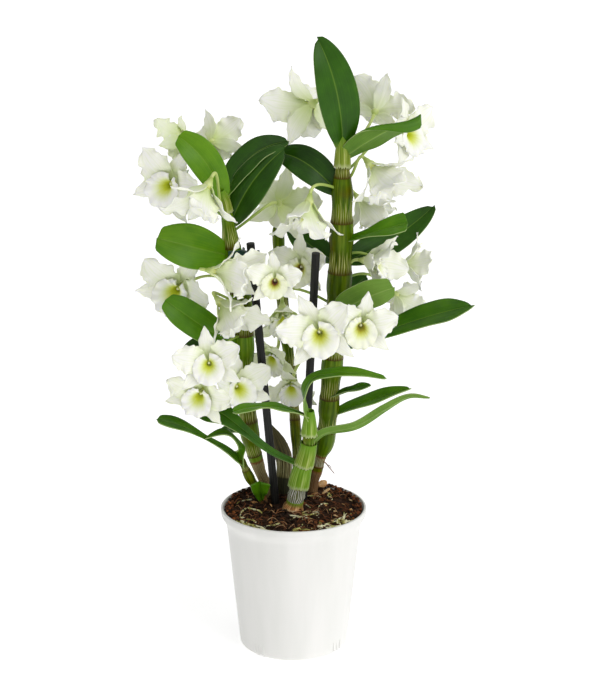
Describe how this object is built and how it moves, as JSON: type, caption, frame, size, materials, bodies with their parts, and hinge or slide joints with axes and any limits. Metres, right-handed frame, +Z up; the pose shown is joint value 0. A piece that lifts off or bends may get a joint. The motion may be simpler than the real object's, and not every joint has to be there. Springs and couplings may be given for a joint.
{
  "type": "potted dendrobium orchid",
  "caption": "Upright cane orchid with white trumpet blooms and glossy leaves, standing in a plain white growing pot.",
  "frame": {"origin": "centre of the pot's underside, on the surface that it stands on", "axes": "+Z up along the pot and canes, -Y the front that the open blooms face, +X right as seen from the front"},
  "size_m": [0.2756, 0.1493, 0.5074],
  "materials": {
    "white_pot": "satin moulded polypropylene",
    "bark_mix": "rough chopped bark",
    "stake": "matte black tube",
    "clip": "dark green moulding",
    "foliage": "waxy living leaf and cane",
    "old_cane": "dry papery cane",
    "petal": "soft waxy petal"
  },
  "bodies": {
    "root": {"pot": "white_pot", "potting_mix": "bark_mix", "stake_left": "stake", "stake_right": "stake", "cane_clip": "clip", "cane_tall": "foliage", "cane_left": "foliage", "cane_middle": "foliage", "backbulb": "old_cane", "cane_front": "foliage", "shoot_left": "foliage", "bloom_01": "petal", "bloom_02": "petal", "bloom_03": "petal", "bloom_04": "petal", "bloom_05": "petal", "bloom_06": "petal", "bloom_07": "petal", "bloom_08": "petal", "bloom_09": "petal", "bloom_10": "petal", "bloom_11": "petal", "bloom_12": "petal", "bloom_13": "petal", "bloom_14": "petal", "bloom_15": "petal", "bloom_16": "petal", "bloom_17": "petal", "bloom_18": "petal", "bloom_19": "petal", "bloom_20": "petal", "bloom_21": "petal", "bloom_22": "petal", "bloom_23": "petal", "bloom_24": "petal", "bloom_25": "petal", "bloom_26": "petal", "bloom_27": "petal"}
  },
  "joints": []
}
